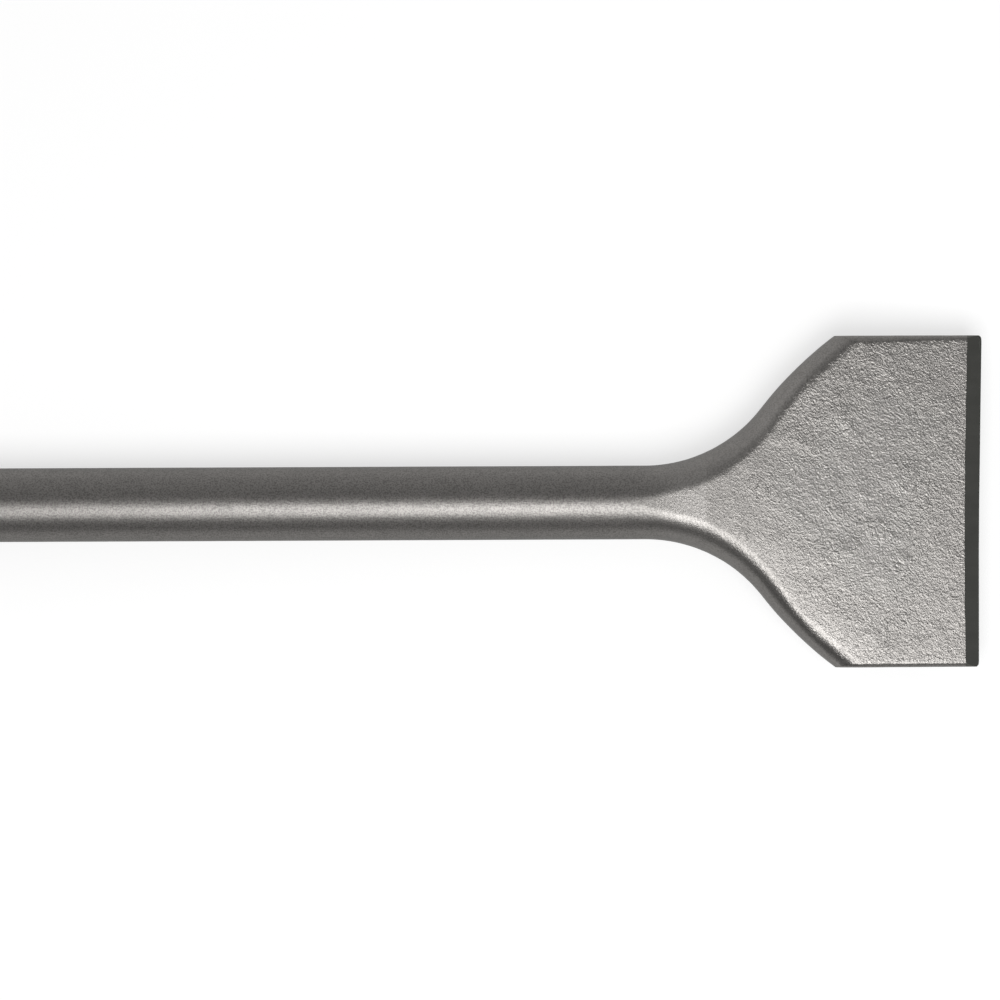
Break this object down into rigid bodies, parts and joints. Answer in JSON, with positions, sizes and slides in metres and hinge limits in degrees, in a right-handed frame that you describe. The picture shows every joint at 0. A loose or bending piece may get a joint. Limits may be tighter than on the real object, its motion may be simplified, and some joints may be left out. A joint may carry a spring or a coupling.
{
  "type": "flat chisel",
  "caption": "Flat chisel for a rotary hammer: a round grooved shank and shaft, forged out into a wide flat blade with a ground cutting edge.",
  "frame": {"origin": "centre of the striking face, on the axis of the shank", "axes": "+X runs along the shaft from the striking face to the cutting edge, the blade lies in the XY plane, and +Z points out of its upper face"},
  "size_m": [0.35, 0.08, 0.018],
  "materials": {
    "forged_steel": "grey shot-blasted forging with a darker ground bevel and a ground shank"
  },
  "bodies": {
    "root": {"flat_chisel": "forged_steel"}
  },
  "joints": []
}
